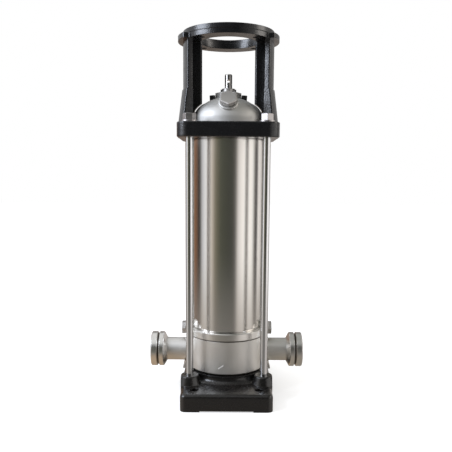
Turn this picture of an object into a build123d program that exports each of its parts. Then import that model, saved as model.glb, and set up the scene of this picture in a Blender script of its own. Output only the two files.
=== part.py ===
"""Vertical multistage pump without its motor, as an assembly of separate pieces, in millimetres.

The shaft stands on the Z axis. The floor is Z = 0, the suction nozzle points to -X, the discharge
nozzle to +X, and the vent plug faces the front, -Y.
"""
import os
from math import cos, radians, sin, sqrt, tan

from build123d import *

# Main sizes of the whole pump
face_to_face = 250.8
impeller_radius = 40.0
shaft_radius = 6.0
stay_radius = 6.0
stay_gap = 15.55

# How far a cut runs past the surface that it opens
beyond = 1.0

# Base plate, cast iron
plate_side = 12.2
plate_end = 23.0
plate_top = 27.0
plate_corner = 9.0
plate_edge = 6.0
plate_wall = 8.0
plate_recess = 15.0
plate_ribs = 2
plate_cell_rows = 4
foot_pad = 30.0
foot_pad_height = 1.6
foot_spacing_x = 100.0
foot_spacing_y = 180.0
foot_hole_radius = 6.5
corner_boss_top = 41.0
corner_boss_foot_radius = 18.0
corner_boss_head_radius = 14.6
corner_boss_edge = 1.5
corner_boss_stand_out = 1.5
seat_margin = 3.4
seat_root = 9.0
stay_thread_depth = 26.0

# Pump base, the stainless casting with both nozzles
casting_bottom = 38.8
casting_wall = 6.6
casting_height = 68.4
casting_edge = 3.0
groove_width = 1.6
groove_depth = 1.3
band_stand_out = 1.3
band_height = 11.2
band_edge = 1.0
casting_floor = 8.0
nozzle_rise = 27.2
nozzle_bore = 16.0
nozzle_bore_length = 26.0
passage_radius = 17.0
pipe_radius = 19.0
collar_radius = 28.4
collar_edge = 1.2
collar_ring_width = 9.6
collar_groove_width = 4.0
collar_groove_depth = 3.4
collar_inner_width = 8.0
collar_taper = 4.5
nozzle_gusset_reach = 10.4
nozzle_gusset_root = 8.0
nozzle_gusset_toe = 3.0
nozzle_gusset_width = 44.0
gauge_boss_radius = 12.4
gauge_boss_drop = 4.2
gauge_boss_rise = 6.4
gauge_thread_radius = 6.5
gauge_hexagon = 19.0
gauge_head = 5.0
gauge_flange_radius = 10.6
gauge_flange = 1.5
gauge_thread = 8.0
gauge_thread_room = 0.5

# Outer sleeve and its seals
sleeve_room = 6.4
sleeve_wall = 1.6
sleeve_seat_depth = 9.2
sleeve_head_depth = 6.0
oring_section = 2.4
oring_bevel = 0.7
head_oring_bevel = 0.5
head_oring_section = 1.8
oring_offset = 2.5
oring_side_gap = 0.2
fit_gap = 0.1

# Pump head, the stainless dome
rim_margin = 3.0
rim_drop = 17.0
rim_height = 8.0
dome_wall_margin = 0.8
dome_shoulder_rise = 29.0
dome_bend = (17.8, 52.0)
dome_lower_bulge = (4.5, 41.3)
dome_upper_bulge = (26.0, 56.6)
dome_core = (45.8, 13.0)
crown_land = 6.0
crown_rise = 59.5
head_wall = 4.5
skirt_length = 13.0
skirt_wall = 2.9
seal_bore = 15.0
seal_boss_radius = 20.0
seal_boss_depth = 12.5
press_rib_width = 6.0
press_rib_inner = 41.0
press_rib_height = 8.0
press_rib_count = 4

# Vent plug on the front of the dome
vent_elevation = 37.0
vent_seat = (11.3, 49.3)
vent_boss_radius = 15.4
vent_boss_rise = 3.2
vent_boss_edge = 2.0
vent_hexagon = 25.0
vent_head = 6.0
vent_head_edge = 1.0
vent_collar_radius = 11.8
vent_collar_height = 2.0
vent_thread_radius = 10.0
vent_thread_length = 11.0
vent_seal_radius = 11.2
vent_seal_height = 1.2

# Motor stool, cast iron
stool_height = 165.0
flange_corner = 19.2
flange_drop = 4.0
flange_height = 23.0
flange_edge = 2.0
flange_bore_gap = 0.5
flange_lip_gap = 0.4
stay_hole_radius = 6.75
ring_land = 14.5
ring_height = 14.5
ring_band = 7.5
ring_band_step = 0.9
ring_bore = 45.0
ear_reach = 8.0
ear_half_angle = 31.0
ear_round = 4.0
ear_root = 3.0
spigot_radius = 47.5
spigot_depth = 5.0
motor_pitch_circle = 115.0
motor_bolt_count = 4
motor_hole_radius = 4.5
leg_wall = 9.0
leg_half_angle = 29.5
leg_edge = 2.0
leg_web_inner = 42.0
leg_web_thickness = 10.0
leg_web_round = 3.5
leg_dome_gap = 2.0
leg_gusset_height = 53.0
leg_gusset_head_reach = 1.6
leg_gusset_foot_reach = 8.3

# Stay bolt fasteners
washer_radius = 12.0
washer_bore = 6.5
washer_height = 2.5
nut_hexagon = 18.0
nut_height = 10.0
nut_edge = 1.2
nut_edge_height = 0.7
hexagon_turn = 30.0
stay_stand_out = 0.6
nut_turns = (0.0, 24.0, 30.0, 9.0)
thread_gap = 0.05

# Pumping stages
stage_count = 12
stage_pitch = 27.0
stack_drop = 10.0
chamber_room = 5.5
chamber_wall = 1.5
guide_disc_height = 14.0
guide_disc_margin = 1.0
guide_disc_gap = 0.5
guide_vane_count = 6
guide_vane_inner = 21.0
guide_vane_stagger = 15.0
vane_thickness = 1.6
vane_sink = 0.2
vane_bow = 0.38
neck_gap = 0.3
impeller_lift = 2.0
impeller_channel = 5.0
shroud_thickness = 1.2
eye_radius = 18.3
eye_wall = 1.3
eye_drop = 1.4
blade_count = 6
blade_inner = 19.0
blade_lean = 38.0
blade_stagger = 20.0
hub_radius = 9.0
hub_height = 13.0
shaft_gap = 0.03

# Inlet and outlet parts of the stack, with the shaft bearings
inlet_height = 10.0
bearing_radius = 12.0
bearing_gap = 0.05
bearing_hub_wall = 2.2
lower_bearing_drop = 1.0
upper_bearing_rise = 3.0
journal_stand_out = 2.0
spoke_count = 3
spoke_width = 3.0
spoke_drop = 2.0
suction_well_radius = 24.0
suction_wall = 7.0
outlet_height = 12.0
window_count = 6
window_width = 16.0
window_height = 7.0
window_rise = 2.0
strap_count = 3
strap_width = 12.0
strap_thickness = 1.0
strap_hook = 4.0

# Shaft seal, shaft nut and clamp ring
shaft_nut_hexagon = 19.0
shaft_nut_height = 7.0
shaft_washer_height = 2.0
shaft_washer_radius = 9.5
clamp_ring_height = 5.0
clamp_ring_wall = 3.97
clamp_ring_edge = 0.8
shaft_tail = 2.0
shaft_end_rise = 38.5
seal_body_depth = 6.5
seal_hexagon = 36.0
seal_hexagon_height = 9.5
seal_bore_gap = 0.05
seal_passage = 8.5
seal_seat_radius = 11.2
seal_seat_height = 5.0
seal_seat_gap = 1.0
seal_ring_radius = 10.2
seal_ring_height = 4.5
seal_face_gap = 0.05
bellows_height = 12.0
bellows_radius = 9.6
bellows_waist = 8.2
bellows_folds = 3
drive_collar_radius = 10.8
drive_collar_height = 5.6
drive_collar_lift = 0.7
drive_screw_radius = 2.0
drive_screw_stand_out = 1.6
drive_screw_length = 5.4
shaft_chamfer = 1.0
shaft_end_length = 14.0
shaft_relief = 0.3
shaft_relief_width = 1.0
pin_hole_radius = 2.4
pin_hole_drop = 11.0
cap_screw_lean = 4.0
cap_screw_seat = (30.7, 57.3)
cap_screw_seat_gap = 0.4
cap_screw_head_radius = 4.5
cap_screw_head = 8.0
cap_screw_radius = 2.5
cap_screw_length = 8.0
cap_screw_room = 0.5
cap_screw_socket = 4.6
cap_screw_socket_depth = 3.0


def turned(points):
    """A solid of revolution about the shaft, from a closed outline of (radius, height) points."""
    return revolve(Plane.XZ * make_face(Polyline(*points, close=True)), Axis.Z)


def tube(outer, inner, bottom, top):
    """A ring about the shaft between two heights."""
    ring = Circle(outer) - Circle(inner)
    return extrude(Plane.XY.offset(bottom) * ring, top - bottom)


def disc(radius, bottom, top):
    """A round about the shaft between two heights."""
    return extrude(Plane.XY.offset(bottom) * Circle(radius), top - bottom)


def block(low, high):
    """A box between two corners."""
    size = [h - l for l, h in zip(low, high)]
    middle = [(l + h) / 2 for l, h in zip(low, high)]
    return Pos(*middle) * Box(*size)


def hexagon(across_flats, height, turn=0.0):
    """A hexagonal prism standing on its own plane."""
    return extrude(RegularPolygon(across_flats / 2, 6, major_radius=False, rotation=turn), height)


def four_corners(offset_x, offset_y):
    """The four places of a rectangular pattern."""
    return [(sx * offset_x, sy * offset_y) for sx in (-1, 1) for sy in (-1, 1)]


def around(count, start=0.0):
    """Turns about the shaft for a ring of equal pieces."""
    return [Rot(0, 0, start + 360.0 * index / count) for index in range(count)]


def group(pieces):
    """Separate solids that share one node."""
    return Compound(children=list(pieces))


def both_sides(piece):
    """A piece on the +X side and its copy on the -X side."""
    return piece + Rot(0, 0, 180) * piece


# Heights that several pieces share, from the floor up
nozzle_height = casting_bottom + nozzle_rise
casting_top = casting_bottom + casting_height
band_bottom = casting_top - band_height
groove_height = band_bottom - groove_width
gauge_boss_height = casting_top - gauge_boss_drop
sleeve_bottom = casting_top - sleeve_seat_depth
stack_bottom = sleeve_bottom - stack_drop
stages_bottom = stack_bottom + inlet_height
stages_top = stages_bottom + stage_count * stage_pitch
stack_top = stages_top + outlet_height
rim_bottom = stack_top - rim_drop
rim_top = rim_bottom + rim_height
sleeve_top = rim_bottom + sleeve_head_depth
skirt_bottom = rim_bottom - skirt_length
crown_height = rim_bottom + crown_rise
seal_boss_bottom = crown_height - seal_boss_depth
seal_body_bottom = crown_height - seal_body_depth
seal_body_top = crown_height + seal_hexagon_height
shaft_end_height = crown_height + shaft_end_rise
flange_bottom = rim_bottom - flange_drop
flange_top = flange_bottom + flange_height
leg_gusset_top = flange_top + leg_gusset_height
seat_height = flange_bottom + stool_height
ring_bottom = seat_height - ring_height
washer_top = flange_top + washer_height
nut_top = washer_top + nut_height
stay_bottom = corner_boss_top - stay_thread_depth

# Radii that several pieces share, from the impellers out
chamber_bore = impeller_radius + chamber_room
chamber_radius = chamber_bore + chamber_wall
sleeve_bore = chamber_radius + sleeve_room
sleeve_radius = sleeve_bore + sleeve_wall
skirt_outer = sleeve_bore - fit_gap
casting_radius = sleeve_radius + casting_wall
rim_radius = sleeve_radius + rim_margin
dome_wall_radius = sleeve_radius + dome_wall_margin
neck_radius = eye_radius + neck_gap
hub_bore = shaft_radius + shaft_gap
band_radius = casting_radius + band_stand_out
seat_ring_radius = casting_radius + seat_margin
gauge_boss_reach = casting_radius + gauge_boss_rise
crown_radius = seal_bore + crown_land
ring_radius = motor_pitch_circle / 2 + ring_land
ear_radius = ring_radius + ear_reach

# Widths that follow from the bolts' places, and the nozzles' faces
stay_offset = (casting_radius + stay_gap + stay_radius) / sqrt(2)
flange_width = 2 * (stay_offset + flange_corner)
plate_width = 2 * (stay_offset + plate_side)
plate_depth = foot_spacing_y + 2 * plate_end
corner_boss_reach = plate_width / 2 + corner_boss_stand_out
nozzle_face = face_to_face / 2


def seat_face():
    """Half section of the casting's seat, with a hollow root where it meets the slab."""
    root_centre = (seat_ring_radius + seat_root, plate_top + seat_root)
    outline = Polyline((0, casting_bottom), (0, 0), (root_centre[0], 0), (root_centre[0], plate_top))
    outline += CenterArc(root_centre, seat_root, 180, 90)
    outline += Polyline(
        (seat_ring_radius, root_centre[1]), (seat_ring_radius, casting_bottom), (0, casting_bottom))
    return make_face(outline)


def make_base_plate():
    """Foot plate: a ribbed slab, a round seat for the casting and four bosses for the stay bolts."""
    slab = extrude(RectangleRounded(plate_width, plate_depth, plate_corner), plate_top)
    slab = fillet(slab.edges().group_by(Axis.Z)[-1], plate_edge)
    half_width = plate_width / 2
    boss = turned([
        (0, 0),
        (corner_boss_foot_radius, 0),
        (corner_boss_foot_radius, plate_top),
        (corner_boss_head_radius, corner_boss_top - corner_boss_edge),
        (corner_boss_head_radius - corner_boss_edge, corner_boss_top),
        (0, corner_boss_top),
    ])
    bosses = Part() + [Pos(x, y, 0) * boss for x, y in four_corners(stay_offset, stay_offset)]
    side_limit = block((-corner_boss_reach, -plate_depth, 0), (corner_boss_reach, plate_depth, seat_height))
    seat_limit = block((-half_width, -plate_depth, 0), (half_width, plate_depth, seat_height))
    seat = revolve(Plane.XZ * seat_face(), Axis.Z)
    plate = slab + (seat & seat_limit) + (bosses & side_limit)

    # Shallow gap under the plate between its four feet, and the cells between the ribs
    gap_x = plate_width / 2 - foot_pad
    gap_y = plate_depth / 2 - foot_pad
    plate -= block((-gap_x, -plate_depth, -beyond), (gap_x, plate_depth, foot_pad_height))
    plate -= block((-plate_width, -gap_y, -beyond), (plate_width, gap_y, foot_pad_height))
    cell_x = (plate_width - (plate_ribs + 2) * plate_wall) / (plate_ribs + 1)
    cell_y = (plate_depth - (plate_cell_rows + 1) * plate_wall) / plate_cell_rows
    cell = extrude(RectangleRounded(cell_x, cell_y, plate_wall / 2), plate_recess)
    for column in range(plate_ribs + 1):
        for row in range(plate_cell_rows):
            at_foot = column in (0, plate_ribs) and row in (0, plate_cell_rows - 1)
            if not at_foot:
                x = (column - plate_ribs / 2) * (cell_x + plate_wall)
                y = (row - (plate_cell_rows - 1) / 2) * (cell_y + plate_wall)
                plate -= Pos(x, y, 0) * cell

    for x, y in four_corners(foot_spacing_x / 2, foot_spacing_y / 2):
        plate -= Pos(x, y, plate_top / 2) * Cylinder(foot_hole_radius, plate_top * 2)
    for x, y in four_corners(stay_offset, stay_offset):
        plate -= Pos(x, y, stay_bottom - beyond) * extrude(
            Circle(stay_radius + thread_gap), stay_thread_depth + 2 * beyond)
    return plate


def nozzle_outline():
    """Half section of one nozzle, as (distance along the nozzle, radius) points."""
    face = nozzle_face
    groove_outer = face - collar_ring_width
    groove_inner = groove_outer - collar_groove_width
    collar_end = groove_inner - collar_inner_width
    groove_radius = collar_radius - collar_groove_depth
    groove_middle = (groove_outer + groove_inner) / 2
    return [
        (0, 0),
        (face, 0),
        (face, collar_radius - collar_edge),
        (face - collar_edge, collar_radius),
        (groove_outer, collar_radius),
        (groove_middle, groove_radius),
        (groove_inner, collar_radius),
        (collar_end + collar_edge, collar_radius),
        (collar_end, collar_radius - collar_edge),
        (collar_end - collar_taper, pipe_radius),
        (0, pipe_radius),
    ]


def make_pump_base():
    """Casting with the suction well in its middle, the discharge ring around it and two nozzles."""
    groove_radius = casting_radius - groove_depth
    groove_bottom = groove_height - groove_width / 2
    body = turned([
        (0, casting_bottom),
        (casting_radius - casting_edge, casting_bottom),
        (casting_radius, casting_bottom + casting_edge),
        (casting_radius, groove_bottom),
        (groove_radius, groove_height),
        (band_radius, band_bottom),
        (band_radius, casting_top - band_edge),
        (band_radius - band_edge, casting_top),
        (0, casting_top),
    ])
    nozzle_face_plane = Plane.XY * make_face(Polyline(*nozzle_outline(), close=True))
    nozzle = Pos(0, 0, nozzle_height) * revolve(nozzle_face_plane, Axis.X)
    root = casting_radius - nozzle_gusset_root
    toe = casting_radius + nozzle_gusset_reach
    gusset = make_face(Polyline(
        (root, casting_bottom),
        (toe, casting_bottom),
        (toe, casting_bottom + nozzle_gusset_toe),
        (casting_radius + nozzle_gusset_toe, nozzle_height - pipe_radius / 2),
        (root, nozzle_height),
        close=True,
    ))
    gusset = extrude(Plane.XZ * gusset, nozzle_gusset_width / 2, both=True)
    boss = Pos(root, 0, gauge_boss_height) * Rot(0, 90, 0) * extrude(
        Circle(gauge_boss_radius), gauge_boss_reach - root)
    body += both_sides(nozzle + gusset + boss)

    # Room for the sleeve and its seal ring, then the water passages
    body -= disc(sleeve_radius + fit_gap, sleeve_bottom, gauge_boss_height + 2 * gauge_boss_radius)
    well_floor = casting_bottom + casting_floor
    well_wall = suction_well_radius + suction_wall
    ring_space = tube(skirt_outer, well_wall, well_floor, casting_top + beyond)
    tunnel = Pos(0, 0, nozzle_height) * Rot(0, -90, 0) * extrude(
        Circle(nozzle_bore + suction_wall / 2), casting_radius)
    body -= ring_space - tunnel
    body -= disc(skirt_outer, stack_bottom, casting_top + beyond)
    body -= disc(suction_well_radius, well_floor, casting_top)
    passage = turned([
        (0, 0),
        (passage_radius, 0),
        (passage_radius, nozzle_face - nozzle_bore_length),
        (nozzle_bore, nozzle_face - nozzle_bore_length),
        (nozzle_bore, nozzle_face + beyond),
        (0, nozzle_face + beyond),
    ])
    suction_passage = Pos(0, 0, nozzle_height) * Rot(0, -90, 0) * passage
    discharge_passage = Pos(0, 0, nozzle_height) * Rot(0, 90, 0) * passage
    body -= suction_passage
    body -= discharge_passage - disc(well_wall, 0, seat_height)
    body -= oring_groove_in_base()
    thread = Pos(gauge_boss_reach, 0, gauge_boss_height) * Rot(0, -90, 0) * extrude(
        Circle(gauge_thread_radius + thread_gap), gauge_thread + gauge_thread_room)
    return body - both_sides(thread)


def oring_groove_in_base():
    """Groove round the sleeve's lower end."""
    groove_bottom = sleeve_bottom + oring_offset
    groove_top = groove_bottom + oring_section + 2 * oring_side_gap
    return tube(sleeve_radius + fit_gap + oring_section, sleeve_radius, groove_bottom, groove_top)


def squeezed_ring(inner, outer, bottom, bevel):
    """A rubber ring pressed flat on its four sides, with a bevel between each two."""
    top = bottom + oring_section
    return turned([
        (inner + bevel, bottom),
        (outer - bevel, bottom),
        (outer, bottom + bevel),
        (outer, top - bevel),
        (outer - bevel, top),
        (inner + bevel, top),
        (inner, top - bevel),
        (inner, bottom + bevel),
    ])


def make_base_oring():
    """Seal ring between the casting and the sleeve."""
    bottom = sleeve_bottom + oring_offset + oring_side_gap
    return squeezed_ring(sleeve_radius, sleeve_radius + fit_gap + oring_section, bottom, oring_bevel)


def make_gauge_plugs():
    """Plugs of the two gauge ports, each a hexagon with a flange and a threaded end."""
    thread = extrude(Circle(gauge_thread_radius), -gauge_thread)
    flange = extrude(Circle(gauge_flange_radius), gauge_flange)
    head = Pos(0, 0, gauge_flange) * hexagon(gauge_hexagon, gauge_head, hexagon_turn)
    plug = Pos(gauge_boss_reach, 0, gauge_boss_height) * Rot(0, 90, 0) * (thread + flange + head)
    return group([plug, Rot(0, 0, 180) * plug])


def make_outer_sleeve():
    """Thin tube that holds the pressure between the casting and the head."""
    return tube(sleeve_radius, sleeve_bore, sleeve_bottom, sleeve_top)


def vent_plane(rise=0.0):
    """Plane square to the vent plug's axis, at its seat on the dome plus a rise along the axis."""
    lean = radians(vent_elevation)
    direction = (0, -cos(lean), sin(lean))
    inset, height = vent_seat
    y = inset - dome_wall_radius + rise * direction[1]
    origin = (0, y, rim_bottom + height + rise * direction[2])
    return Plane(origin=origin, x_dir=(1, 0, 0), z_dir=direction)


def cap_screw_place(side):
    """Place of one cap screw's seat, leaning out from the shaft."""
    inset, height = cap_screw_seat
    x = side * (dome_wall_radius - inset)
    return Pos(x, 0, rim_bottom + height) * Rot(0, side * cap_screw_lean, 0)


def dome_point(point, inset):
    """A point of the dome's outline, moved by an inset towards the middle of the dome.

    Points are given as the distance in from the dome's wall and the height above its rim.
    """
    across = dome_core[0] - point[0]
    up = point[1] - dome_core[1]
    share = inset / sqrt(across**2 + up**2)
    return (dome_wall_radius - point[0] - share * across, rim_bottom + point[1] - share * up)


def dome_face(inset):
    """Closed half section of the dome, drawn a given distance inside its outer surface."""
    shoulder = (dome_wall_radius - inset, rim_bottom + dome_shoulder_rise)
    bend = dome_point(dome_bend, inset)
    lower = dome_point(dome_lower_bulge, inset)
    upper = dome_point(dome_upper_bulge, inset)
    crown = (crown_radius, crown_height - inset)
    outline = Polyline((0, crown[1]), (0, rim_bottom), (shoulder[0], rim_bottom), shoulder)
    outline += ThreePointArc(shoulder, lower, bend)
    outline += ThreePointArc(bend, upper, crown)
    outline += Line(crown, (0, crown[1]))
    return make_face(outline)


def make_pump_head():
    """Dome with a clamped rim, a skirt inside the sleeve, a seal bore and a boss for the vent plug."""
    head = revolve(Plane.XZ * dome_face(0), Axis.Z)
    head += disc(rim_radius, rim_bottom, rim_top)
    vent_boss = extrude(Circle(vent_boss_radius), vent_boss_radius + vent_boss_rise)
    vent_boss = fillet(vent_boss.edges().group_by(Axis.Z)[-1], vent_boss_edge)
    head += vent_plane(-vent_boss_radius) * vent_boss
    hollow = revolve(Plane.XZ * dome_face(head_wall), Axis.Z)
    head -= hollow - disc(seal_boss_radius, seal_boss_bottom, crown_height)
    head -= disc(dome_wall_radius - head_wall, rim_bottom - beyond, rim_top)
    skirt_inner = skirt_outer - skirt_wall
    head += tube(skirt_outer, skirt_inner, skirt_bottom, rim_top)

    # Ribs that press the stack of chambers down
    rib = block((press_rib_inner, -press_rib_width / 2, stack_top),
                (skirt_outer, press_rib_width / 2, stack_top + press_rib_height))
    for turn in around(press_rib_count, 45):
        head += turn * rib
    head -= tube(sleeve_radius + fit_gap, skirt_outer, rim_bottom - beyond, sleeve_top)
    groove_bottom = skirt_bottom + oring_offset
    groove_top = groove_bottom + oring_section + 2 * oring_side_gap
    head -= tube(sleeve_bore, skirt_outer - head_oring_section, groove_bottom, groove_top)
    head -= disc(seal_bore, seal_boss_bottom - beyond, crown_height + beyond)
    vent_hole_length = vent_boss_rise + beyond + 2 * vent_thread_radius
    vent_hole = extrude(Circle(vent_thread_radius + thread_gap), -vent_hole_length)
    head -= vent_plane(vent_boss_rise + beyond) * vent_hole
    for side in (-1, 1):
        flat = extrude(Circle(cap_screw_head_radius + cap_screw_seat_gap), 2 * cap_screw_head)
        hole = extrude(Circle(cap_screw_radius + thread_gap), -cap_screw_length - cap_screw_room)
        head -= cap_screw_place(side) * (flat + hole)
    return head


def make_head_oring():
    """Seal ring between the head's skirt and the sleeve."""
    bottom = skirt_bottom + oring_offset + oring_side_gap
    return squeezed_ring(skirt_outer - head_oring_section, sleeve_bore, bottom, head_oring_bevel)


def make_vent_plug():
    """Hexagonal plug with a round collar and a short thread, square to the dome's surface."""
    seat = vent_boss_rise + vent_seal_height
    head = hexagon(vent_hexagon, vent_head, hexagon_turn)
    head = chamfer(head.edges().group_by(Axis.Z)[-1], vent_head_edge)
    head = Pos(0, 0, vent_collar_height) * head + extrude(Circle(vent_collar_radius), vent_collar_height)
    thread = extrude(Circle(vent_thread_radius), -vent_thread_length)
    return vent_plane(seat) * (head + thread)


def make_vent_seal():
    """Flat ring under the vent plug's head."""
    ring = extrude(Circle(vent_seal_radius) - Circle(vent_thread_radius + thread_gap), vent_seal_height)
    return vent_plane(vent_boss_rise) * ring


def make_cap_screws():
    """Two socket screws on the dome's shoulders."""
    head = extrude(Circle(cap_screw_head_radius), cap_screw_head)
    socket_bottom = cap_screw_head - cap_screw_socket_depth
    socket = Pos(0, 0, socket_bottom) * hexagon(cap_screw_socket, cap_screw_head)
    screw = head - socket + extrude(Circle(cap_screw_radius), -cap_screw_length)
    return group(cap_screw_place(side) * screw for side in (-1, 1))


def stool_ring():
    """Motor seat: a plain band on a lower band with an ear on each side, and the motor's register."""
    span = 2 * ear_radius
    half = span * tan(radians(ear_half_angle))
    wedge = make_face(Polyline((0, 0), (span, half), (span, -half), close=True))
    ears = Circle(ear_radius) & (wedge + Rot(0, 0, 180) * wedge)
    lower = extrude(Plane.XY.offset(ring_bottom) * (Circle(ring_radius - ring_band_step) + ears), ring_band)
    middle = (ring_radius + ear_radius) / 2
    for is_corner, size in ((True, ear_round), (False, ear_root)):
        edges = [
            edge for edge in lower.edges().filter_by(Axis.Z)
            if (sqrt(edge.center().X**2 + edge.center().Y**2) > middle) == is_corner
        ]
        lower = fillet(edges, size)
    ring = lower + disc(ring_radius, ring_bottom + ring_band, seat_height)
    ring -= disc(ring_bore, ring_bottom - beyond, seat_height + beyond)
    ring -= disc(spigot_radius, seat_height - spigot_depth, seat_height + beyond)
    bolt = Pos(motor_pitch_circle / 2, 0, ring_bottom - beyond) * extrude(
        Circle(motor_hole_radius), ring_height + 2 * beyond)
    for turn in around(motor_bolt_count, 45):
        ring -= turn * bolt
    return ring


def leg_section(outer):
    """Plan of a leg: a curved wall between the leg's inner radius and the one given, with radial ends."""
    span = 2 * outer
    half = span * tan(radians(leg_half_angle))
    sector = make_face(Polyline((0, 0), (span, half), (span, -half), close=True))
    return (Circle(outer) - Circle(ring_radius - leg_wall)) & sector


def stool_leg():
    """The +X leg: a curved wall with radial ends, flared at its foot, and a web on its inner side."""
    plan = leg_section(ring_radius)
    wall = extrude(Plane.XY.offset(flange_top) * fillet(plan.vertices(), leg_edge), ring_bottom - flange_top)

    inner = ring_radius - leg_wall
    foot_radius = ring_radius + leg_gusset_foot_reach
    foot = extrude(leg_section(foot_radius), leg_gusset_top) & turned([
        (inner, flange_bottom + flange_edge),
        (foot_radius, flange_bottom + flange_edge),
        (foot_radius, flange_top),
        (ring_radius + leg_gusset_head_reach, leg_gusset_top),
        (inner, leg_gusset_top),
    ])
    slanted = [
        edge for edge in foot.edges().filter_by(GeomType.LINE)
        if sqrt(edge.center().X**2 + edge.center().Y**2) > ring_radius and edge.center().Z > flange_top
    ]
    foot = fillet(slanted, leg_edge)
    web = block((leg_web_inner, -leg_web_thickness / 2, flange_top),
                (ring_radius - leg_wall / 2, leg_web_thickness / 2, ring_bottom))
    nose = web.edges().filter_by(Axis.Z).group_by(Axis.X)[0]
    leg = wall + foot + fillet(nose, leg_web_round)
    return leg - revolve(Plane.XZ * dome_face(-leg_dome_gap), Axis.Z)


def make_motor_stool():
    """Cast stool: a square flange clamped on the head, two legs and the motor seat."""
    square = RectangleRounded(flange_width, flange_width, flange_corner)
    flange = extrude(Plane.XY.offset(flange_bottom) * square, flange_height)
    flange = fillet(flange.edges().group_by(Axis.Z)[-1] + flange.edges().group_by(Axis.Z)[0], flange_edge)
    stool = flange + both_sides(stool_leg()) + stool_ring()
    stool -= disc(rim_radius + flange_bore_gap, flange_bottom - beyond, rim_top)
    stool -= disc(dome_wall_radius + flange_lip_gap, rim_top - beyond, flange_top + beyond)
    stay_hole = extrude(Circle(stay_hole_radius), flange_height + 2 * beyond)
    for x, y in four_corners(stay_offset, stay_offset):
        stool -= Pos(x, y, flange_bottom - beyond) * stay_hole
    return stool


def make_stay_bolts():
    """Four long stay bolts from the base plate through the stool's flange."""
    length = nut_top + stay_stand_out - stay_bottom
    bolt = chamfer(extrude(Circle(stay_radius), length).edges().group_by(Axis.Z)[-1], nut_edge)
    return group(Pos(x, y, stay_bottom) * bolt for x, y in four_corners(stay_offset, stay_offset))


def make_stay_washers():
    """Four washers on the stool's flange."""
    washer = extrude(Circle(washer_radius) - Circle(washer_bore), washer_height)
    return group(Pos(x, y, flange_top) * washer for x, y in four_corners(stay_offset, stay_offset))


def make_stay_nuts():
    """Four hexagon nuts on the stay bolts, chamfered at the top."""
    corner = nut_hexagon / 2 / cos(radians(30))
    cone = turned([
        (0, 0),
        (corner, 0),
        (corner, nut_height - nut_edge_height),
        (corner - nut_edge, nut_height),
        (0, nut_height),
    ])
    nut = (hexagon(nut_hexagon, nut_height) & cone) - Cylinder(stay_radius + thread_gap, 3 * nut_height)
    places = zip(four_corners(stay_offset, stay_offset), nut_turns)
    return group(Pos(x, y, washer_top) * Rot(0, 0, turn) * nut for (x, y), turn in places)


def curved_blade(inner, outer, lean, bottom, height):
    """One blade as a thin arc-shaped wall that leans back from the radius."""
    start = (inner, 0)
    turn = radians(lean)
    end = (outer * cos(turn), outer * sin(turn))
    middle_turn = turn * vane_bow
    middle_radius = (inner + outer) / 2
    middle = (middle_radius * cos(middle_turn), middle_radius * sin(middle_turn))
    path = ThreePointArc(start, middle, end)
    strip = make_face(offset(path, vane_thickness / 2, kind=Kind.TANGENT, side=Side.BOTH))
    return extrude(Plane.XY.offset(bottom) * strip, height)


def make_chamber(index):
    """One chamber: its wall, the plate with the next impeller's neck hole, and the guide vanes."""
    bottom = stages_bottom + index * stage_pitch
    top = bottom + stage_pitch
    guide_bottom = bottom + guide_disc_height
    vane_bottom = guide_bottom + shroud_thickness
    shell = turned([
        (neck_radius, top - chamber_wall),
        (chamber_bore, top - chamber_wall),
        (chamber_bore, bottom),
        (chamber_radius, bottom),
        (chamber_radius, top),
        (neck_radius, top),
    ])
    guide = tube(impeller_radius + guide_disc_margin, hub_radius + guide_disc_gap, guide_bottom, vane_bottom)
    vane = curved_blade(guide_vane_inner, chamber_bore + (chamber_wall - vane_thickness) / 2, -blade_lean,
                        vane_bottom - vane_sink, top - vane_bottom - chamber_wall + 2 * vane_sink)
    for turn in around(guide_vane_count, guide_vane_stagger * index):
        guide += turn * vane
    return shell + guide


def make_impeller(index):
    """One closed impeller: an eye ring, a front shroud, curved blades, a back plate and a hub."""
    bottom = stages_bottom + index * stage_pitch
    shroud = bottom + impeller_lift
    channel = shroud + shroud_thickness
    back = channel + impeller_channel
    front = turned([
        (eye_radius - eye_wall, bottom - eye_drop),
        (eye_radius, bottom - eye_drop),
        (eye_radius, shroud),
        (impeller_radius, shroud),
        (impeller_radius, channel),
        (eye_radius - eye_wall, channel),
    ])
    rear = turned([
        (hub_bore, bottom),
        (hub_radius, bottom),
        (hub_radius, back),
        (impeller_radius, back),
        (impeller_radius, back + shroud_thickness),
        (hub_radius, back + shroud_thickness),
        (hub_radius, bottom + hub_height),
        (hub_bore, bottom + hub_height),
    ])
    blade = curved_blade(blade_inner, impeller_radius - vane_thickness, blade_lean, channel - vane_sink,
                         impeller_channel + 2 * vane_sink)
    impeller = front
    for turn in around(blade_count, blade_stagger * index):
        impeller += turn * blade
    return impeller + rear


def make_shaft_spacers():
    """Sleeves on the shaft between the impellers' hubs."""
    spacers = []
    for index in range(stage_count - 1):
        bottom = stages_bottom + index * stage_pitch + hub_height
        spacers.append(tube(hub_radius, hub_bore, bottom, bottom + stage_pitch - hub_height))
    return group(spacers)


def make_lower_journal():
    """Bearing sleeve on the shaft's lower end."""
    return tube(hub_radius, hub_bore, stack_bottom, stages_bottom)


def make_upper_journal():
    """Bearing sleeve above the last impeller."""
    return tube(hub_radius, hub_bore, stages_top - stage_pitch + hub_height, stack_top + journal_stand_out)


def bearing_hub(bottom, top):
    """Hub that holds a bearing ring."""
    return tube(bearing_radius + bearing_hub_wall, bearing_radius, bottom, top)


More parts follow.
